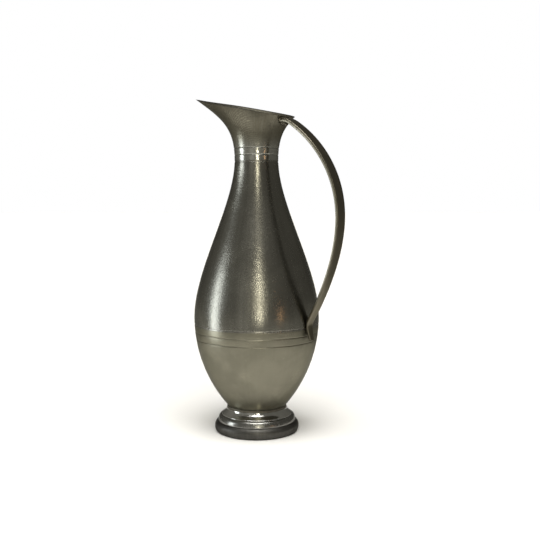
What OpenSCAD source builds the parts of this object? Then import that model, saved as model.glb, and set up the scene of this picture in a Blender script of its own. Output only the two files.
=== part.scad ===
// Tall ewer: spun shells joined by solder seams, a spun foot and a cast strap handle.
// Origin on the axis of the foot at the table, +Z up, handle towards +X, spout towards -X.

/* [Body] */
// Greatest radius of the belly
belly_r = 52; // [50:0.5:53]
// Height of the greatest radius
belly_z = 96; // [95:0.5:97]
// Radius of the arc that shapes the bowl below the belly
bowl_arc_r = 113.5; // [112:0.5:115]
// Least radius of the neck
throat_r = 18; // [17.5:0.25:18.5]
// Height of the least radius
throat_z = 226; // [225:0.5:227]
// Wall thickness of the spun shells
wall = 1.4; // [1.2:0.1:1.6]

/* [Spout] */
// Height of the oblique cut on the axis
rim_z = 266.6; // [265:0.2:268]
// Slope of the oblique cut, rising towards the spout
rim_tilt = 12; // [10:0.2:13]
// Radius that the flare would reach without the cut
flare_r = 54.4; // [52:0.4:56]
// Height that the flare would reach above the throat without the cut
flare_h = 52.5; // [52:0.5:54]

/* [Incised rings] */
// Distance between neighbouring rings on the neck
neck_ring_step = 5.4; // [4.6:0.2:6]
// Distance between neighbouring rings on the belly
belly_ring_step = 6; // [5:0.2:7]
// Depth of an incised ring
ring_cut = 0.45; // [0.3:0.05:0.6]

/* [Foot] */
// Height of the underside of the bowl above the table
foot_h = 20; // [19.5:0.1:20.5]
// Height of the base ring
base_h = 9; // [8.5:0.1:9.5]
// Greatest radius of the base ring
base_r = 35.3; // [35:0.1:36]
// Radius of the waist between bowl and foot
waist_r = 25.2; // [25:0.1:25.5]

/* [Handle] */
// Width of the strap at the rim
strap_w_top = 13.1; // [11:0.1:14]
// Width of the strap at the belly
strap_w_low = 8.6; // [7:0.1:10]
// Thickness of the strap at the rim
strap_t_top = 3; // [2.6:0.1:3.4]
// Thickness of the strap at its tail
strap_t_low = 2.2; // [1.8:0.1:2.6]

/* [Hidden] */
$fn = 96;

// Larger than the whole ewer
beyond = 300;

// The lowest neck ring and the highest belly ring are the seams between the shells.
neck_seam_z = throat_z - 1.6;
belly_seam_drop = 5.2;
belly_seam_z = belly_z - belly_seam_drop;
belly_seam_r = belly_r - 0.12;
seam_depth = 0.5;
seam_half = 0.7;
seam_recess = 0.15;

// Half of the mouth's wall goes down inside the neck as a spigot.
spigot_h = 4;
spigot_r = throat_r - wall / 2;

// Bowl floor and foot
bowl_floor_r = 21;
foot_plate = 1.5;
foot_hole_r = 12;
step_z = foot_h - 5;
base_inner_r = 29.5;
pedestal_inner_r = waist_r + 5.9;

// Point at t along a cubic curve through four control points
function curve_point(c, t) =
    pow(1 - t, 3) * c[0] + 3 * pow(1 - t, 2) * t * c[1] + 3 * (1 - t) * t * t * c[2] + pow(t, 3) * c[3];

function curve(c, steps) = [for (i = [0 : steps]) curve_point(c, i / steps)];

// Unit vector along a path at point i, and the one at its right-hand side
function along(path, i) =
    let (a = path[max(i - 1, 0)], b = path[min(i + 1, len(path) - 1)]) (b - a) / norm(b - a);
function right_of(path, i) = let (d = along(path, i)) [d[1], -d[0]];

// Path moved to its right by the distance d0 at its start, changing to d1 at its end
function beside(path, d0, d1) =
    [for (i = [0 : len(path) - 1])
        path[i] + (d0 + (d1 - d0) * i / (len(path) - 1)) * right_of(path, i)];

function reversed(path) = [for (i = [len(path) - 1 : -1 : 0]) path[i]];

// Outer outlines, as [radius, height]
function bowl_point(drop) =
    [belly_r - bowl_arc_r + sqrt(pow(bowl_arc_r, 2) - pow(drop, 2)), belly_z - drop];
bowl_low_angle = asin((belly_z - foot_h - 0.8) / bowl_arc_r);
bowl_outer = [for (i = [24 : -1 : 1]) bowl_point(bowl_arc_r * sin(bowl_low_angle * i / 24))];
shoulder_outer = curve([[belly_r, belly_z], [belly_r, belly_z + 39.5],
                        [throat_r, throat_z - 36.5], [throat_r, throat_z]], 26);
body_outer = concat(bowl_outer, shoulder_outer);
mouth_outer = curve([[throat_r, throat_z], [throat_r, throat_z + 28],
                     [throat_r + 12, throat_z + 34.7], [flare_r, throat_z + flare_h]], 22);
pedestal_band = curve([[waist_r, foot_h - 0.4], [waist_r + 0.2, foot_h - 2],
                       [waist_r + 2.2, step_z + 1.4], [waist_r + 4.5, step_z - 0.3]], 8);
pedestal_moulding = curve([[waist_r + 4, step_z - 0.6], [waist_r + 5.6, step_z - 0.8],
                           [waist_r + 7.1, step_z - 2.6], [waist_r + 7.4, base_h]], 8);
base_shoulder = curve([[base_r - 1.9, base_h - 0.4], [base_r - 0.2, base_h - 2],
                       [base_r, base_h - 3.4], [base_r, base_h - 4.7]], 6);
base_heel = curve([[base_r, base_h - 5], [base_r, base_h - 7],
                   [base_r - 0.5, 0.6], [base_r - 2, 0]], 6);

// Centre line of the strap, as [distance from the axis, height]
strap_upper = [[26, 260.4], [53.5, 247.6], [81.6, 219], [81.6, 179.4]];
strap_lower = [[81.6, 179.4], [81.6, 150], [66.9, 118.8], [52.9, 94.6]];
strap_tail = [[53.6, 89.5], [55.6, 81]];
strap_path = concat(curve(strap_upper, 22),
                    [for (i = [1 : 20]) curve_point(strap_lower, i / 20)],
                    strap_tail);
heel_z = 97;
tail_z = 80;
tail_round = 2.4;

// Everything inside the outer surface of the bowl and the shoulder
module body_solid() {
    rotate_extrude($fn = 360)
        polygon(concat([[0, foot_h], [bowl_floor_r, foot_h]], body_outer, [[0, throat_z]]));
}

// Everything inside the outer surface of the mouth
module mouth_solid() {
    rotate_extrude($fn = 360)
        polygon(concat([[0, throat_z]], mouth_outer, [[0, throat_z + flare_h]]));
}

// Wall of the bowl and the shoulder, with the bowl's floor
module body_wall() {
    rotate_extrude()
        polygon(concat([[0, foot_h], [bowl_floor_r, foot_h]],
                       body_outer,
                       reversed(beside(body_outer, -wall, -wall)),
                       [[bowl_floor_r - 1, foot_h + wall], [0, foot_h + wall]]));
}

// Everything above a height
module above(z) {
    translate([0, 0, z])
        cylinder(r = beyond, h = beyond);
}

// Everything above the oblique cut of the spout
module above_rim() {
    translate([0, 0, rim_z])
        rotate([0, rim_tilt, 0])
            translate([-beyond / 2, -beyond / 2, 0])
                cube(beyond);
}

// Incised ring around a surface of radius r
module incised_ring(r, z) {
    rotate_extrude()
        polygon([[r - ring_cut, z], [r + ring_cut, z - ring_cut * 2], [r + ring_cut, z + ring_cut * 2]]);
}

// Solder in the groove between two shells
module seam(r, z) {
    rotate_extrude()
        polygon([[r - seam_depth, z],
                 [r - seam_recess, z - seam_half],
                 [r - seam_recess, z + seam_half]]);
}

// Groove that the solder lies in
module seam_groove(r, z) {
    rotate_extrude()
        polygon([[r - seam_depth, z],
                 [r - seam_recess, z - seam_half],
                 [r + 1, z - seam_half],
                 [r + 1, z + seam_half],
                 [r - seam_recess, z + seam_half]]);
}

module flared_mouth() {
    color([0.45, 0.43, 0.38])
        difference() {
            rotate_extrude()
                polygon(concat([[throat_r - wall, neck_seam_z - spigot_h],
                                [spigot_r, neck_seam_z - spigot_h],
                                [spigot_r, neck_seam_z],
                                [throat_r, neck_seam_z]],
                               mouth_outer,
                               reversed(beside(mouth_outer, -wall, -wall))));
            above_rim();
            seam_groove(throat_r, neck_seam_z);
            for (i = [1 : 2])
                incised_ring(throat_r + 0.14 * i * i, neck_seam_z + i * neck_ring_step);
        }
}

module shoulder_shell() {
    color([0.26, 0.26, 0.25])
        difference() {
            body_wall();
            translate([0, 0, belly_seam_z - beyond])
                cylinder(r = beyond, h = beyond);
            above(neck_seam_z);
            translate([0, 0, neck_seam_z - spigot_h])
                cylinder(r = spigot_r, h = beyond);
            seam_groove(throat_r, neck_seam_z);
            seam_groove(belly_seam_r, belly_seam_z);
        }
}

module bowl_shell() {
    color([0.5, 0.48, 0.42])
        difference() {
            body_wall();
            above(belly_seam_z);
            seam_groove(belly_seam_r, belly_seam_z);
            for (i = [1 : 2])
                incised_ring(bowl_point(belly_seam_drop + i * belly_ring_step)[0],
                             belly_seam_z - i * belly_ring_step);
        }
}

module foot_pedestal() {
    color([0.55, 0.54, 0.5])
        rotate_extrude()
            polygon(concat([[foot_hole_r, foot_h], [waist_r, foot_h]],
                           pedestal_band,
                           pedestal_moulding,
                           [[pedestal_inner_r, base_h],
                            [pedestal_inner_r, base_h + 1.6],
                            [pedestal_inner_r - 0.7, base_h + 3.2],
                            [waist_r + 3, step_z - 1.8],
                            [waist_r + 0.2, step_z - 0.6],
                            [waist_r - 1.4, foot_h - 3],
                            [waist_r - 1.6, foot_h - foot_plate],
                            [foot_hole_r, foot_h - foot_plate]]));
}

module base_ring() {
    color([0.2, 0.19, 0.18])
        rotate_extrude()
            polygon(concat([[base_inner_r, base_h], [base_r - 2.3, base_h]],
                           base_shoulder,
                           base_heel,
                           [[base_inner_r + 1, 0], [base_inner_r, 1]]));
}

// Side view of the strap, made wider than the finished handle
module strap_side() {
    rotate([90, 0, 0])
        translate([0, 0, -beyond / 2])
            linear_extrude(beyond)
                polygon(concat(beside(strap_path, strap_t_top / 2, strap_t_low / 2),
                               reversed(beside(strap_path, -strap_t_top / 2, -strap_t_low / 2))));
}

// Front view of the strap: a taper that ends in a round tail
module strap_front() {
    rotate([90, 0, 90])
        linear_extrude(beyond) {
            translate([0, tail_z + tail_round])
                circle(r = tail_round);
            polygon([[-tail_round, tail_z + tail_round],
                     [tail_round, tail_z + tail_round],
                     [strap_w_low / 2, heel_z],
                     [strap_w_top / 2, rim_z],
                     [-strap_w_top / 2, rim_z],
                     [-strap_w_low / 2, heel_z]]);
        }
}

module handle() {
    color([0.36, 0.34, 0.29])
        difference() {
            intersection() {
                strap_side();
                strap_front();
            }
            body_solid();
            mouth_solid();
        }
}

// Solder under the root of the strap, against the flare
top_solder_w = 9;
top_solder_side = [[24, 252], [24, 258.5], [32, 257], [31.5, 254.8]];
module handle_top_solder() {
    color([0.3, 0.29, 0.26])
        difference() {
            translate([0, top_solder_w / 2, 0])
                rotate([90, 0, 0])
                    linear_extrude(top_solder_w)
                        polygon(top_solder_side);
            strap_side();
            mouth_solid();
        }
}

// Solder between the heel of the strap and the belly
heel_solder_w = 5.2;
heel_solder_side = [[50, 87], [52.9, 87.6], [53.2, 93.9], [50, 93.9]];
module handle_heel_solder() {
    color([0.3, 0.29, 0.26])
        difference() {
            translate([0, heel_solder_w / 2, 0])
                rotate([90, 0, 0])
                    linear_extrude(heel_solder_w)
                        polygon(heel_solder_side);
            strap_side();
            body_solid();
        }
}

module neck_seam_solder() {
    color([0.55, 0.54, 0.5])
        seam(throat_r, neck_seam_z);
}

module belly_seam_solder() {
    color([0.55, 0.54, 0.5])
        seam(belly_seam_r, belly_seam_z);
}

module waist_seam_solder() {
    color([0.35, 0.34, 0.31])
        difference() {
            rotate_extrude()
                polygon([[bowl_floor_r + 0.5, foot_h], [waist_r - 0.2, foot_h],
                         [waist_r - 0.4, foot_h + 1.8], [bowl_floor_r + 0.5, foot_h + 1.8]]);
            body_solid();
        }
}

module base_seam_solder() {
    color([0.35, 0.34, 0.31])
        rotate_extrude()
            polygon([[base_inner_r + 0.2, base_h],
                     [pedestal_inner_r, base_h],
                     [pedestal_inner_r, base_h + 1.4]]);
}

flared_mouth();
shoulder_shell();
bowl_shell();
foot_pedestal();
base_ring();
handle();
handle_top_solder();
handle_heel_solder();
neck_seam_solder();
belly_seam_solder();
waist_seam_solder();
base_seam_solder();
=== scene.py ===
"""Looks of the pewter ewer: smooth turned shells, a crowned strap handle, solder and worn pewter."""
import math

import bpy
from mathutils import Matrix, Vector
from mathutils.bvhtree import BVHTree


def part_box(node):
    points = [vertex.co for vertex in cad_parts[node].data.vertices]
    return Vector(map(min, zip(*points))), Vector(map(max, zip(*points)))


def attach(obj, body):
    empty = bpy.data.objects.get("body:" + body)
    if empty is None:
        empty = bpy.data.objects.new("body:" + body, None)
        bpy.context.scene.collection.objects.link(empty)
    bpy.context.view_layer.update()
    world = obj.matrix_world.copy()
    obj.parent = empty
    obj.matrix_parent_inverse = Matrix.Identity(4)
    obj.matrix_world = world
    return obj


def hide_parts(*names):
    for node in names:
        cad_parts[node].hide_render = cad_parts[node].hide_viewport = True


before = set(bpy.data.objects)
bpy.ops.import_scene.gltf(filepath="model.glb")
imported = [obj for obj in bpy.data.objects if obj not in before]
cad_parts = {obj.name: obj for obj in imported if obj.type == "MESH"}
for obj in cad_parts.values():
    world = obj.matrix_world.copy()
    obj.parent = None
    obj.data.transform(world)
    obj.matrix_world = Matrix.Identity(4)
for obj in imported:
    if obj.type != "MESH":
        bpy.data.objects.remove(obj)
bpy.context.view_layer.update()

MM = 0.001
TINY = 1e-9
AROUND = 192         # points on each turned ring
STEP = 0.2 * MM      # step along an outline before its corners are rounded
INSIDE = 0.9995      # full circles stay within the CAD's facets, which cut a little off each radius
CUT_ROUND = 0.28 * MM       # rounding of the cut rim's corners
STRAP_ROUND = 0.42 * MM     # rounding of the strap's edges
STRAP_CROWN = 0.12 * MM     # rise of the strap's outer face along its middle
ROOT_DEPTH = 0.9 * MM       # how far the strap's root reaches past its CAD end, into the flare


# ---------------------------------------------------------------- outlines from the CAD nodes

def node_mesh(name):
    """Vertices and faces of a CAD node."""
    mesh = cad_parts[name].data
    return [v.co.copy() for v in mesh.vertices], [tuple(p.vertices) for p in mesh.polygons]


def section(name):
    """Outline of a turned node as ordered (radius, height) points, found by walking along its edges."""
    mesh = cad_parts[name].data
    grid = 0.02 * MM
    key = {}
    points = {}
    for v in mesh.vertices:
        r = math.hypot(v.co.x, v.co.y)
        k = (round(r / grid), round(v.co.z / grid))
        for near in [(k[0] + i, k[1] + j) for i in (-1, 0, 1) for j in (-1, 0, 1)]:
            if near in points:
                k = near
        key[v.index] = k
        points.setdefault(k, (r, v.co.z))
    links = {k: set() for k in points}
    for e in mesh.edges:
        a, b = key[e.vertices[0]], key[e.vertices[1]]
        if a != b:
            links[a].add(b)
            links[b].add(a)
    ends = sorted(k for k in links if len(links[k]) == 1)
    start = ends[0] if ends else min(links, key=lambda k: (k[1], k[0]))
    walk, last = [start], None
    while True:
        onward = sorted(k for k in links[walk[-1]] if k != last and k not in walk)
        if not onward:
            break
        last = walk[-1]
        walk.append(onward[0])
    return [Vector(points[k]) for k in walk], not ends


def turn(a, b, c):
    """Angle by which a path turns at b."""
    u, v = b - a, c - b
    if u.length < TINY or v.length < TINY:
        return 0.0
    return abs(u.angle_signed(v))


def catmull(p0, p1, p2, p3, t):
    """Point at t between p1 and p2 on a smooth curve."""
    return 0.5 * (2 * p1 + (p2 - p0) * t + (2 * p0 - 5 * p1 + 4 * p2 - p3) * t * t
                  + (3 * p1 - p0 - 3 * p2 + p3) * t ** 3)


def smooth_runs(points, closed, step, corner=math.radians(14)):
    """Path through the points with curves between its corners, at an even step."""
    n = len(points)
    at = lambda i: points[i % n] if closed else points[min(max(i, 0), n - 1)]
    sharp = [turn(at(i - 1), at(i), at(i + 1)) > corner for i in range(n)]
    out = []
    for i in range(n if closed else n - 1):
        p1, p2 = at(i), at(i + 1)
        p0 = at(i - 1) if not sharp[i] else 2 * p1 - p2
        p3 = at(i + 2) if not sharp[(i + 1) % n] else 2 * p2 - p1
        parts = max(1, round((p2 - p1).length / step))
        out += [catmull(p0, p1, p2, p3, k / parts) for k in range(parts)]
    if not closed:
        out.append(points[-1])
    return out


def soften(points, closed, rounds):
    """Rounds the corners of a finely stepped path."""
    n = len(points)
    for _ in range(rounds):
        new = []
        for i in range(n):
            if not closed and i in (0, n - 1):
                new.append(points[i])
                continue
            a, b = points[(i - 1) % n], points[(i + 1) % n]
            new.append(points[i] * 0.5 + (a + b) * 0.25)
        points = new
    return points


def thin(points, closed, most=1.3 * MM, bend=math.radians(2.5)):
    """Drops points where a path is nearly straight."""
    kept = [points[0]]
    turned = 0.0
    for i in range(1, len(points) - 1):
        turned += turn(points[i - 1], points[i], points[i + 1])
        if turned > bend or (points[i] - kept[-1]).length > most:
            kept.append(points[i])
            turned = 0.0
    if not closed or (points[-1] - points[0]).length > most / 2:
        kept.append(points[-1])
    return kept


# ---------------------------------------------------------------- mesh makers

def make_object(name, verts, faces):
    """New smooth-shaded piece that rides on the ewer's one body."""
    mesh = bpy.data.meshes.new(name)
    mesh.from_pydata([tuple(v) for v in verts], [], faces)
    mesh.validate()
    mesh.update()
    mesh.polygons.foreach_set("use_smooth", [True] * len(mesh.polygons))
    obj = bpy.data.objects.new(name, mesh)
    bpy.context.scene.collection.objects.link(obj)
    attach(obj, "root")
    return obj


def lathe(name, points, closed):
    """Turned piece from an outline. An open outline ends on the axis at both ends."""
    verts, faces = [], []
    rings = []
    for p in points:
        rings.append(len(verts))
        for j in range(AROUND):
            a = 2 * math.pi * j / AROUND
            verts.append((INSIDE * p.x * math.cos(a), INSIDE * p.x * math.sin(a), p.y))
    rows = list(zip(range(len(points)), range(1, len(points))))
    if closed:
        rows.append((len(points) - 1, 0))
    for i, k in rows:
        for j in range(AROUND):
            m = (j + 1) % AROUND
            faces.append((rings[i] + j, rings[k] + j, rings[k] + m, rings[i] + m))
    if not closed:
        for ring, flip in ((rings[0], False), (rings[-1], True)):
            centre = len(verts)
            verts.append((0, 0, verts[ring][2]))
            for j in range(AROUND):
                m = (j + 1) % AROUND
                tri = (centre, ring + j, ring + m)
                faces.append(tri if not flip else tri[::-1])
    return face_out(make_object(name, verts, faces))


def face_out(obj):
    """Makes every face of a closed piece look outwards."""
    mesh = obj.data
    volume = 0.0
    for p in mesh.polygons:
        c = [mesh.vertices[i].co for i in p.vertices]
        for k in range(1, len(c) - 1):
            volume += c[0].dot(c[k].cross(c[k + 1]))
    if volume < 0:
        mesh.flip_normals()
    return obj


def turned_piece(name, node, step=STEP, rounds=2):
    """Smooth copy of a turned CAD node, with its corners rounded."""
    points, closed = section(node)
    fine = thin(soften(smooth_runs(points, closed, step), closed, rounds), closed)
    piece = lathe(name, fine, closed)
    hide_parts(node)
    return piece


# ---------------------------------------------------------------- the flared mouth

def rim_plane():
    """Height of the oblique rim on the axis, and its fall for each metre towards the handle."""
    verts, _ = node_mesh("flared_mouth")
    behind_axis = 20 * MM
    tip = max(verts, key=lambda v: v.z)
    back = max((v for v in verts if v.x > behind_axis), key=lambda v: v.x + v.z)
    fall = (tip.z - back.z) / (back.x - tip.x)
    return tip.z + fall * tip.x, fall


def mouth_outline():
    """Outer outline of the mouth from its seam to the end of the spout."""
    verts, faces = node_mesh("flared_mouth")
    tree = BVHTree.FromPolygons(verts, faces)
    rim_h, fall = rim_plane()
    seam_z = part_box("neck_seam_solder")[1].z
    far_out, same_face, below_rim, below_seam = 200 * MM, 0.05 * MM, 0.1 * MM, 0.01 * MM
    found = {}
    for v in verts:
        r = math.hypot(v.x, v.y)
        if v.z < seam_z - below_seam or v.z + fall * v.x > rim_h - below_rim:
            continue
        outwards = Vector((v.x, v.y, 0)).normalized()
        hit = tree.ray_cast(outwards * far_out + Vector((0, 0, v.z)), -outwards)[0]
        if hit and abs(math.hypot(hit.x, hit.y) - r) < same_face:
            found[round(v.z / MM, 2)] = r
    return [Vector((found[z], z * MM)) for z in sorted(found)]


def beside(path, distance):
    """Path moved sideways towards the axis."""
    out = []
    for i, p in enumerate(path):
        along = (path[min(i + 1, len(path) - 1)] - path[max(i - 1, 0)]).normalized()
        out.append(p + Vector((-along.y, along.x)) * distance)
    return out


def place_on(path, f):
    """Point at a fractional index of a path."""
    i = min(max(int(f), 0), len(path) - 2)
    return path[i].lerp(path[i + 1], f - i)


def droop(x):
    """How far the rim bends down from its plane, close to the spout and to the handle."""
    spout_bend, spout_from, spout_run = 0.8 * MM, 36 * MM, 18 * MM
    back_bend, back_from, back_run = 1.1 * MM, 8 * MM, 24 * MM
    ahead, behind = max(0.0, -x - spout_from) / spout_run, max(0.0, x - back_from) / back_run
    return spout_bend * ahead ** 2 + back_bend * behind ** 2


def meets_rim(path, cos_a, rim):
    """Fractional index at which a path meets the oblique rim."""
    rim_h, fall = rim
    for i in range(len(path) - 1, 0, -1):
        a, b = [q.y + fall * q.x * cos_a + droop(q.x * cos_a) - rim_h for q in (path[i - 1], path[i])]
        if a <= 0 < b:
            return i - 1 + a / (a - b)
    return len(path) - 1


def rounded_edge(before, corner, after, parts=4):
    """Points of a small curve in place of a corner."""
    return [before * (1 - t) ** 2 + corner * 2 * t * (1 - t) + after * t * t
            for t in (k / parts for k in range(parts + 1))]


def mouth_column(outer, inner, cos_a, shares, rim):
    """Section of the flare in one direction: up the outside, over the cut edge and down the inside."""
    ends = [meets_rim(path, cos_a, rim) for path in (outer, inner)]
    tops = [place_on(path, end) for path, end in zip((outer, inner), ends)]
    flat = tops[1] - tops[0]
    ease = min(CUT_ROUND, flat.length * 0.3)
    column = []
    for path, end, top, way in ((outer, ends[0], tops[0], 1), (inner, ends[1], tops[1], -1)):
        short = end - ease / max((path[-1] - path[-2]).length, TINY)
        wall_side = [place_on(path, short * share) for share in shares]
        step = flat.normalized() * ease * way
        bend = rounded_edge(wall_side[-1], top, top + step)
        run = wall_side[:-1] + bend
        column += run if way > 0 else run[::-1]
    return column


def mouth_piece():
    """The flare with the wall of its inside, which has no rings, and its oblique cut edge."""
    past_rim, ringed_points, ring_rounds = 2 * MM, 12, 30
    ringed_share, ringed_steps, flare_steps = 0.26, 70, 80
    outline = mouth_outline()
    wall = outline[0].x - min(math.hypot(v.x, v.y) for v in node_mesh("flared_mouth")[0])
    slope = (outline[-1] - outline[-3]).normalized()
    outline.append(outline[-1] + slope * past_rim)
    outer = soften(smooth_runs(outline, False, STEP), False, 1)
    sparse = [p for i, p in enumerate(outline) if i % 2 == 0 or i > ringed_points]
    inner = beside(soften(smooth_runs(sparse, False, STEP), False, ring_rounds), wall)
    shares = [ringed_share * k / ringed_steps for k in range(ringed_steps)]
    shares += [ringed_share + (1 - ringed_share) * k / flare_steps for k in range(flare_steps + 1)]
    rim = rim_plane()
    columns = []
    for j in range(AROUND):
        a = 2 * math.pi * j / AROUND
        column = mouth_column(outer, inner, math.cos(a), shares, rim)
        columns.append([(p.x * math.cos(a), p.x * math.sin(a), p.y) for p in column])
    count = len(columns[0])
    verts = [v for c in columns for v in c]
    faces = []
    for j in range(AROUND):
        a, b = j * count, ((j + 1) % AROUND) * count
        for k in range(count):
            m = (k + 1) % count
            faces.append((a + k, b + k, b + m, a + m))
    piece = face_out(make_object("flared_mouth_shell", verts, faces))
    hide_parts("flared_mouth")
    return piece


# ---------------------------------------------------------------- the strap handle

def strap_sections():
    """Outer face, thickness and half-width along the strap, from rays through its CAD node."""
    sweep, sweep_rays, level_rays, tail_rays = 100, 90, 110, 14
    inside_strap, thickest, tail_tall, tail_end = 0.05 * MM, 9 * MM, 2.4 * MM, 0.1 * MM
    near_axis = 20 * MM
    verts, faces = node_mesh("handle")
    tree = BVHTree.FromPolygons(verts, faces)
    low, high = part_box("handle")
    heart = Vector((low.x + 0.25 * (high.x - low.x), 0, low.z + 0.55 * (high.z - low.z)))
    found = []

    def probe(origin, aim):
        first = tree.ray_cast(origin, aim)[0]
        if first is None:
            return
        second = tree.ray_cast(first + aim * inside_strap, aim)[0]
        if second is None or (second - first).length > thickest:
            return
        edge = tree.ray_cast((first + second) / 2, Vector((0, 1, 0)))[0]
        if edge is not None:
            found.append([second, (second - first).length, aim, edge.y])

    for i in range(sweep_rays):
        a = math.radians(sweep - sweep * i / sweep_rays)
        probe(heart, Vector((math.cos(a), 0, math.sin(a))))
    tail = low.z + tail_tall
    levels = [heart.z + (tail - heart.z) * i / level_rays for i in range(level_rays)]
    levels += [tail + (low.z + tail_end - tail) * i / tail_rays for i in range(tail_rays + 1)]
    for level in levels:
        probe(Vector((near_axis, 0, level)), Vector((1, 0, 0)))
    return found


def smooth_strap(found):
    """Evens out the strap's outer face, its thickness and the taper of its upper part."""
    passes, reach, above_heel = 8, 8, 8 * MM
    last = len(found) - 1
    for _ in range(passes):
        faces = [f[0] for f in found]
        for i in range(1, last):
            found[i][0] = faces[i - 1] * 0.25 + faces[i] * 0.5 + faces[i + 1] * 0.25
    thick, half = [f[1] for f in found], [f[3] for f in found]
    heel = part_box("handle_heel_solder")[1].z
    for i in range(last + 1):
        near = range(max(0, i - reach), min(last, i + reach) + 1)
        found[i][1] = sorted(thick[j] for j in near)[len(near) // 2]
        if found[i][0].z > heel + above_heel:
            found[i][3] = sum(half[j] for j in near) / len(near)
    return found


def handle_piece():
    """Strap with a low crown, rounded edges, a tapered tail and its root inside the flare."""
    found = smooth_strap(strap_sections())
    count = len(found)
    verts, faces, rows = [], [], []
    for i, (face, span, aim, half) in enumerate(found):
        along = (found[min(i + 1, count - 1)][0] - found[max(i - 1, 0)][0]).normalized()
        out = Vector((-along.z, 0, along.x))
        if out.dot(aim) < 0:
            out = -out
        deep = span * abs(out.dot(aim)) / 2
        rows.append((face - out * deep, along, out, deep, half))
    root = rows[0]
    rows.insert(0, (root[0] - root[1] * ROOT_DEPTH,) + root[1:])
    for centre, _, out, deep, half in rows:
        ring = strap_ring(half, deep)
        verts += [centre + Vector((0, 1, 0)) * y + out * n for y, n in ring]
    size = len(ring)
    for i in range(len(rows) - 1):
        a, b = i * size, (i + 1) * size
        for k in range(size):
            m = (k + 1) % size
            faces.append((a + k, a + m, b + m, b + k))
    faces.append(tuple(range(size)))
    last = (len(rows) - 1) * size
    faces.append(tuple(range(last + size - 1, last - 1, -1)))
    piece = face_out(make_object("handle_strap", verts, faces))
    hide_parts("handle")
    return piece


def strap_ring(half, deep):
    """Section of the strap: a low crown on the outer face and rounded edges."""
    edge = min(STRAP_ROUND, deep * 0.5, half * 0.4)
    crown = min(STRAP_CROWN, deep * 0.2)
    flat = half - edge
    steps = 6
    ring = []
    for k in range(steps + 1):
        y = -flat + 2 * flat * k / steps
        ring.append((y, deep - crown * (y / flat) ** 2))
    side, bend = deep - crown, edge * 0.3
    ring += [(half - bend, side - bend), (half, side - edge)]
    ring += [(half, -deep + edge), (half - bend, -deep + bend)]
    ring += [(flat - 2 * flat * k / steps, -deep) for k in range(steps + 1)]
    ring += [(-half + bend, -deep + bend), (-half, -deep + edge)]
    ring += [(-half, side - edge), (-half + bend, side - bend)]
    return ring


# ---------------------------------------------------------------- solder lumps

def solder_lump(name, node, tilt, phase):
    """Uneven bead of solder in the space of its CAD node, leaning by a tilt in degrees."""
    unevenness, pole = 0.05, 0.9
    low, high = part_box(node)
    centre, size = (low + high) / 2, (high - low) / 2
    verts, faces = [], []
    rows, cols = 20, 32
    lean = math.radians(tilt)
    for i in range(1, rows):
        p = math.pi * i / rows
        for j in range(cols):
            a = 2 * math.pi * j / cols
            uneven = 1 - unevenness * (1 + math.sin(3 * a + phase) * math.sin(2 * p + phase))
            x = size.x * math.sin(p) * math.cos(a) * uneven
            y = size.y * math.sin(p) * math.sin(a) * uneven
            z = size.z * math.cos(p) * uneven
            verts.append(centre + Vector((x * math.cos(lean) + z * math.sin(lean), y,
                                          z * math.cos(lean) - x * math.sin(lean))))
    for i in range(rows - 2):
        for j in range(cols):
            m = (j + 1) % cols
            faces.append((i * cols + j, (i + 1) * cols + j, (i + 1) * cols + m, i * cols + m))
    top, bottom = len(verts), len(verts) + 1
    upper_end = Vector((math.sin(lean), 0, math.cos(lean))) * size.z * pole
    verts += [centre + upper_end, centre - upper_end]
    for j in range(cols):
        m = (j + 1) % cols
        faces.append((top, j, m))
        faces.append((bottom, (rows - 2) * cols + m, (rows - 2) * cols + j))
    piece = face_out(make_object(name, verts, faces))
    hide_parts(node)
    return piece


# ---------------------------------------------------------------- materials

RANGE = ("From Min", "From Max", "To Min", "To Max")


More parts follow.
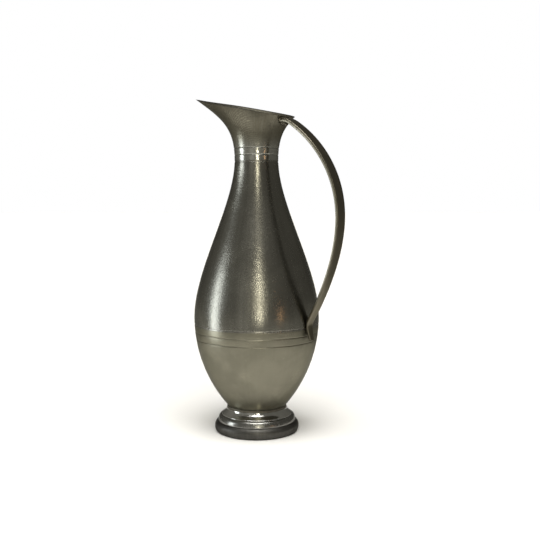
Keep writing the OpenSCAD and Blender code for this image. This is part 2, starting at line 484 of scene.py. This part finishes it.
class Nodes:
    """Short names for the node calls that the materials repeat."""

    def __init__(self, name):
        self.material = bpy.data.materials.new(name)
        self.material.use_nodes = True
        self.tree = self.material.node_tree
        self.shader = self.tree.nodes["Principled BSDF"]
        self.place = self.add("ShaderNodeTexCoord").outputs["Object"]

    def add(self, kind, **settings):
        node = self.tree.nodes.new(kind)
        for k, v in settings.items():
            setattr(node, k, v)
        return node

    def link(self, a, b):
        self.tree.links.new(a, b)

    def math(self, kind, a, b=0.0, c=None):
        node = self.add("ShaderNodeMath", operation=kind)
        for socket, value in zip(node.inputs, (a, b, c)):
            if value is None:
                continue
            if isinstance(value, (int, float)):
                socket.default_value = value
            else:
                self.link(value, socket)
        return node.outputs[0]

    def scaled(self, x, y, z, turn_by=(0, 0, 0), move=(0, 0, 0)):
        node = self.add("ShaderNodeMapping")
        self.link(self.place, node.inputs["Vector"])
        node.inputs["Location"].default_value = move
        node.inputs["Rotation"].default_value = turn_by
        node.inputs["Scale"].default_value = (x, y, z)
        return node.outputs[0]

    def noise(self, vector, scale, detail, rough, warp=0.0):
        node = self.add("ShaderNodeTexNoise")
        self.link(vector, node.inputs["Vector"])
        node.inputs["Scale"].default_value = scale
        node.inputs["Detail"].default_value = detail
        node.inputs["Roughness"].default_value = rough
        node.inputs["Distortion"].default_value = warp
        return node.outputs["Fac"]

    def ramp(self, value, low, high, a=0.0, b=1.0):
        node = self.add("ShaderNodeMapRange")
        node.interpolation_type = "SMOOTHSTEP"
        self.link(value, node.inputs["Value"])
        for k, v in zip(RANGE, (low, high, a, b)):
            node.inputs[k].default_value = v
        return node.outputs["Result"]

    def mix(self, factor, a, b):
        node = self.add("ShaderNodeMix", data_type="RGBA")
        self.link(factor, node.inputs["Factor"])
        for socket, value in ((node.inputs[6], a), (node.inputs[7], b)):
            if isinstance(value, tuple):
                socket.default_value = (*value, 1.0)
            else:
                self.link(value, socket)
        return node.outputs[2]

    def position(self, axis):
        node = self.add("ShaderNodeSeparateXYZ")
        self.link(self.place, node.inputs[0])
        return node.outputs[axis]

    def around_axis(self, across, up):
        """Coordinates that run round the axis slowly and up it fast, with no seam."""
        split = self.add("ShaderNodeSeparateXYZ")
        self.link(self.place, split.inputs[0])
        flat = self.add("ShaderNodeCombineXYZ")
        self.link(split.outputs["X"], flat.inputs["X"])
        self.link(split.outputs["Y"], flat.inputs["Y"])
        unit = self.add("ShaderNodeVectorMath", operation="NORMALIZE")
        self.link(flat.outputs[0], unit.inputs[0])
        parts = self.add("ShaderNodeSeparateXYZ")
        self.link(unit.outputs[0], parts.inputs[0])
        out = self.add("ShaderNodeCombineXYZ")
        self.link(self.math("MULTIPLY", parts.outputs["X"], across), out.inputs["X"])
        self.link(self.math("MULTIPLY", parts.outputs["Y"], across), out.inputs["Y"])
        self.link(self.math("MULTIPLY", split.outputs["Z"], up), out.inputs["Z"])
        return out.outputs[0]

    def bump(self, layers):
        """Stacks (height, strength, distance) layers on the normal."""
        normal = None
        for height, strength, distance in layers:
            node = self.add("ShaderNodeBump")
            node.inputs["Strength"].default_value = strength
            node.inputs["Distance"].default_value = distance
            self.link(height, node.inputs["Height"])
            if normal is not None:
                self.link(normal, node.inputs["Normal"])
            normal = node.outputs["Normal"]
        self.link(normal, self.shader.inputs["Normal"])

    def close(self):
        """Wires the gathered colour, roughness and relief to a metal whose edges stay dim."""
        smoothest, edge_grey = 0.05, 0.45
        self.link(self.colour, self.shader.inputs["Base Color"])
        self.link(self.math("MAXIMUM", self.rough, smoothest), self.shader.inputs["Roughness"])
        self.shader.inputs["Metallic"].default_value = 1.0
        self.shader.inputs["Specular Tint"].default_value = (edge_grey, edge_grey, edge_grey, 1.0)
        self.bump(self.layers)
        return self.material


def scuffs(n):
    """Fine curved scratches round one point, broken up and gathered in patches."""
    centre = (30 * MM, -50 * MM, 190 * MM)
    wave = n.add("ShaderNodeTexWave", wave_type="RINGS", rings_direction="SPHERICAL")
    n.link(n.scaled(1, 1, 1, move=tuple(-c for c in centre)), wave.inputs["Vector"])
    for name, value in (("Scale", 330), ("Distortion", 5.0), ("Detail", 3.0), ("Detail Scale", 1.6)):
        wave.inputs[name].default_value = value
    patch = n.ramp(n.noise(n.place, scale=24, detail=1, rough=0.5), 0.44, 0.56)
    breaks = n.ramp(n.noise(n.place, scale=50, detail=2, rough=0.5), 0.46, 0.6)
    line = n.ramp(wave.outputs["Fac"], 0.9, 0.995)
    return n.math("MULTIPLY", n.math("MULTIPLY", line, patch), breaks)


def scratches(n, size, turn_by, low, high):
    """Straight fine scratches: noise drawn out along one direction, and only its peaks."""
    along = n.scaled(*size, turn_by=tuple(math.radians(a) for a in turn_by))
    return n.ramp(n.noise(along, scale=1.0, detail=1, rough=0.4), low, high)


def pewter(name, bright, dull, rough_low, rough_high, grain=0.3, spots=0.0, streaky=0.4):
    """Worn pewter: cloudy tone, turning marks, hammered grain, fine scratches and dark specks."""
    worn, scratch_gain, speck_gain, rough_spread = 0.5, 2.6, 0.4, 0.14
    n = Nodes(name)
    cloud = n.noise(n.place, scale=30, detail=5, rough=0.6, warp=0.3)
    fine = n.noise(n.scaled(1, 1, 0.6), scale=900, detail=2, rough=0.6)
    marks = n.noise(n.around_axis(across=2.2, up=1100), scale=1.0, detail=3, rough=0.6)
    streaks = n.noise(n.around_axis(across=26, up=9), scale=1.0, detail=3, rough=0.5)
    straight = n.math("MAXIMUM", scratches(n, (1700, 1700, 20), (0, 38, 25), 0.76, 0.82),
                      scratches(n, (1500, 1500, 16), (52, 0, -20), 0.77, 0.83))
    lines = n.math("MAXIMUM", n.math("MULTIPLY", straight, 0.5), scuffs(n))
    speck = n.ramp(n.noise(n.place, scale=520, detail=3, rough=0.6), 0.60, 0.70)
    tone = n.math("MULTIPLY_ADD", streaks, streaky, n.math("MULTIPLY", cloud, 1 - streaky))
    n.colour = n.mix(n.ramp(tone, 0.36, 0.64), bright, dull)
    n.colour = n.mix(n.math("MULTIPLY", speck, spots), n.colour, tuple(speck_gain * c for c in dull))
    shine = tuple(min(1, scratch_gain * c) for c in bright)
    n.colour = n.mix(n.math("MULTIPLY", lines, worn), n.colour, shine)
    uneven = n.math("MULTIPLY", n.math("SUBTRACT", fine, 0.5), rough_spread)
    n.rough = n.math("ADD", n.ramp(cloud, 0.3, 0.7, rough_low, rough_high), uneven)
    grain_deep, marks_deep, lines_deep = 0.16 * MM, 0.05 * MM, 0.04 * MM
    n.layers = [(fine, grain, grain_deep), (marks, 0.3, marks_deep), (lines, worn * 0.5, lines_deep)]
    return n


def mouth_finish():
    """Matt olive patina on the flare, polished below it, with an oxidised rim edge."""
    n = pewter("mouth_pewter", (0.165, 0.155, 0.12), (0.125, 0.115, 0.085), 0.36, 0.46, spots=0.45)
    polished, oxidised, polish_gain = (0.33, 0.33, 0.30), (0.07, 0.068, 0.06), 0.22
    rim_h, fall = rim_plane()
    x, z = n.position("X"), n.position("Z")
    depth = n.math("SUBTRACT", rim_h, n.math("MULTIPLY_ADD", x, fall, z))
    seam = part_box("neck_seam_solder")[1].z
    polish = n.ramp(z, seam + 4 * MM, seam + 22 * MM, 1.0, 0.0)
    n.colour = n.mix(polish, n.colour, polished)
    n.rough = n.math("SUBTRACT", n.rough, n.math("MULTIPLY", polish, polish_gain))
    edge = n.ramp(depth, 0.3 * MM, 1.0 * MM, 1.0, 0.0)
    n.colour = n.mix(edge, n.colour, oxidised)
    return n


def foot_finish():
    """Polished band with a duller moulding below it."""
    n = pewter("foot_pewter", (0.50, 0.495, 0.47), (0.40, 0.395, 0.37), 0.09, 0.15, grain=0.08)
    dull_grey, band_from, band_full = (0.14, 0.137, 0.125), 0.46, 0.52
    low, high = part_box("foot_pedestal")
    tall = high.z - low.z
    moulding = n.ramp(n.position("Z"), low.z + band_from * tall, low.z + band_full * tall, 1.0, 0.0)
    n.colour = n.mix(n.math("MULTIPLY", moulding, 0.8), n.colour, dull_grey)
    n.rough = n.math("ADD", n.rough, n.math("MULTIPLY", moulding, 0.12))
    return n


def put_on(nodes, *pieces):
    """Gives pieces one material."""
    material = nodes.close()
    for piece in pieces:
        piece.data.materials.append(material)


# ---------------------------------------------------------------- build

mouth = mouth_piece()
shoulder = turned_piece("shoulder_shell_smooth", "shoulder_shell")
bowl = turned_piece("bowl_shell_smooth", "bowl_shell")
pedestal = turned_piece("foot_pedestal_smooth", "foot_pedestal", rounds=3)
base = turned_piece("base_ring_smooth", "base_ring", rounds=4)
strap = handle_piece()
top_solder = solder_lump("handle_top_solder_bead", "handle_top_solder", tilt=25, phase=0.4)
heel_solder = solder_lump("handle_heel_solder_bead", "handle_heel_solder", tilt=0, phase=1.7)
fine_step = 0.08 * MM
neck_seam, belly_seam, waist_seam, base_seam = [
    turned_piece(place + "_seam_solder_bead", place + "_seam_solder", fine_step)
    for place, slot in (("neck", "seam_solder"), ("belly", "seam_solder"),
                        ("waist", "solder"), ("base", "solder"))]

put_on(mouth_finish(), mouth)
put_on(pewter("shoulder_pewter", (0.205, 0.20, 0.175), (0.165, 0.16, 0.14), 0.22, 0.29, grain=0.42), shoulder)
put_on(pewter("bowl_pewter", (0.205, 0.195, 0.15), (0.175, 0.167, 0.128), 0.33, 0.42, streaky=0.12), bowl)
put_on(foot_finish(), pedestal)
put_on(pewter("base_pewter", (0.085, 0.083, 0.076), (0.06, 0.058, 0.053), 0.38, 0.5, grain=0.2), base)
put_on(pewter("handle_pewter", (0.165, 0.15, 0.115), (0.125, 0.115, 0.085), 0.30, 0.40), strap)
put_on(pewter("seam_solder", (0.22, 0.215, 0.19), (0.17, 0.165, 0.145), 0.25, 0.35), neck_seam, belly_seam)
put_on(pewter("solder", (0.12, 0.112, 0.09), (0.09, 0.083, 0.066), 0.5, 0.62),
       top_solder, heel_solder, waist_seam, base_seam)


# ---------------------------------------------------------------- studio

def ring_sheet(name, inner, outer, parts=96):
    """Flat ring or disc of floor at the height of the table."""
    verts = [(r * math.cos(2 * math.pi * j / parts), r * math.sin(2 * math.pi * j / parts), 0)
             for r in (inner, outer) for j in range(parts)]
    faces = [(j, parts + j, parts + (j + 1) % parts, (j + 1) % parts) for j in range(parts)]
    if inner < TINY:
        verts = verts[parts:]
        faces = [tuple(range(parts))]
    mesh = bpy.data.meshes.new(name)
    mesh.from_pydata(verts, [], faces)
    sheet = bpy.data.objects.new(name, mesh)
    bpy.context.scene.collection.objects.link(sheet)
    return sheet


def studio_floor():
    """Pale floor. Only the part near the ewer shows in its polished sides."""
    reflected, whole = 0.27, 12.0
    material = bpy.data.materials.new("floor_white")
    material.use_nodes = True
    shader = material.node_tree.nodes["Principled BSDF"]
    shader.inputs["Base Color"].default_value = (0.86, 0.85, 0.83, 1)
    shader.inputs["Roughness"].default_value = 0.9
    shader.inputs["Specular IOR Level"].default_value = 0.0
    near = ring_sheet("floor_near", 0, reflected)
    far = ring_sheet("floor_far", reflected, whole)
    far.visible_glossy = False
    for sheet in (near, far):
        sheet.data.materials.append(material)


CAMERA_TURN = 38.0   # degrees towards the handle, from square on to the handle's plane


def from_camera(azimuth, elevation, distance, height=0.15):
    """Place at an angle to the right of the camera's own direction, seen from the ewer."""
    a, e = math.radians(CAMERA_TURN + azimuth), math.radians(elevation)
    return Vector((math.sin(a) * math.cos(e), -math.cos(a) * math.cos(e), math.sin(e))) * distance \
        + Vector((0, 0, height))


def area_light(name, azimuth, distance, bottom, top, width, radiance, colour):
    """Upright soft rectangle of light that faces the ewer."""
    tall = top - bottom
    data = bpy.data.lights.new(name, "AREA")
    data.shape = "RECTANGLE"
    data.size, data.size_y = width, tall
    data.energy, data.color = radiance * math.pi * width * tall, colour
    lamp = bpy.data.objects.new(name, data)
    lamp.location = from_camera(azimuth, 0, distance, (bottom + top) / 2)
    lamp.rotation_mode = "QUATERNION"
    lamp.rotation_quaternion = from_camera(azimuth, 0, 1, 0).to_track_quat("Z", "Y")
    lamp.visible_camera = False
    bpy.context.scene.collection.objects.link(lamp)


def overhead_light(strength, spread, lean, colour):
    """Very soft light from above and a little from the camera's side."""
    data = bpy.data.lights.new("overhead", "SUN")
    data.energy, data.color, data.angle = strength, colour, math.radians(spread)
    lamp = bpy.data.objects.new("overhead", data)
    lamp.location = from_camera(0, 90 - lean, 2)
    lamp.rotation_mode = "QUATERNION"
    lamp.rotation_quaternion = from_camera(0, 90 - lean, 1, 0).to_track_quat("Z", "Y")
    bpy.context.scene.collection.objects.link(lamp)


def studio_world():
    """Dim room, lighter low down and on the camera's left, with a white backdrop behind the ewer."""
    world = bpy.data.worlds.new("studio")
    world.use_nodes = True
    tree = world.node_tree
    add, link = tree.nodes.new, tree.links.new

    def ranged(value, *limits):
        node = add("ShaderNodeMapRange")
        for name, limit in zip(RANGE, limits):
            node.inputs[name].default_value = limit
        link(value, node.inputs["Value"])
        return node.outputs["Result"]

    room = tree.nodes["Background"]
    room.inputs["Color"].default_value = (1.0, 0.97, 0.86, 1)
    where = add("ShaderNodeTexCoord").outputs["Generated"]
    split = add("ShaderNodeSeparateXYZ")
    link(where, split.inputs[0])
    low = ranged(split.outputs["Z"], -0.12, 0.05, 0.36, 0.19)
    side = add("ShaderNodeVectorMath")
    side.operation = "DOT_PRODUCT"
    link(where, side.inputs[0])
    side.inputs[1].default_value = from_camera(-90, 0, 1, 0)
    lean = ranged(side.outputs["Value"], -1.0, 1.0, 0.95, 1.4)
    both = add("ShaderNodeMath")
    both.operation = "MULTIPLY"
    link(low, both.inputs[0])
    link(lean, both.inputs[1])
    link(both.outputs[0], room.inputs["Strength"])
    white = add("ShaderNodeBackground")
    path = add("ShaderNodeLightPath")
    white.inputs["Color"].default_value = (1.0, 1.0, 1.0, 1)
    mix = add("ShaderNodeMixShader")
    link(path.outputs["Is Camera Ray"], mix.inputs[0])
    link(room.outputs[0], mix.inputs[1])
    link(white.outputs[0], mix.inputs[2])
    link(mix.outputs[0], tree.nodes["World Output"].inputs["Surface"])
    bpy.context.scene.world = world
    bpy.context.scene.view_settings.view_transform = "Standard"


def camera():
    """Eye at two thirds of the ewer's height, a little right of its middle, looking slightly down."""
    distance, eye, pan, pitch = 0.664, 0.1931, 0.961, 5.0
    data = bpy.data.cameras.new("camera")
    data.sensor_width = 36.0
    data.lens = 53.33
    cam = bpy.data.objects.new("camera", data)
    cam.location = from_camera(0, 0, distance, eye)
    a, p = math.radians(CAMERA_TURN - pan), math.radians(pitch)
    forward = Vector((-math.sin(a) * math.cos(p), math.cos(a) * math.cos(p), -math.sin(p)))
    cam.rotation_mode = "QUATERNION"
    cam.rotation_quaternion = forward.to_track_quat("-Z", "Y")
    bpy.context.scene.collection.objects.link(cam)
    bpy.context.scene.camera = cam


studio_floor()
studio_world()
area_light("window_left", azimuth=-82, distance=1.6, bottom=-0.5, top=0.76, width=0.46, radiance=6.3,
           colour=(0.90, 0.96, 1.0))
area_light("lamp_front", azimuth=5, distance=1.5, bottom=0.0, top=1.05, width=0.07, radiance=23,
           colour=(1.0, 0.95, 0.78))
area_light("glow_front", azimuth=-24, distance=1.7, bottom=-0.2, top=1.0, width=0.7, radiance=0.26,
           colour=(1.0, 0.98, 0.92))
area_light("lamp_right", azimuth=43, distance=1.8, bottom=0.02, top=0.3, width=0.05, radiance=8,
           colour=(1.0, 0.58, 0.30))
overhead_light(strength=3.5, spread=40, lean=16, colour=(1.0, 0.99, 0.97))
camera()
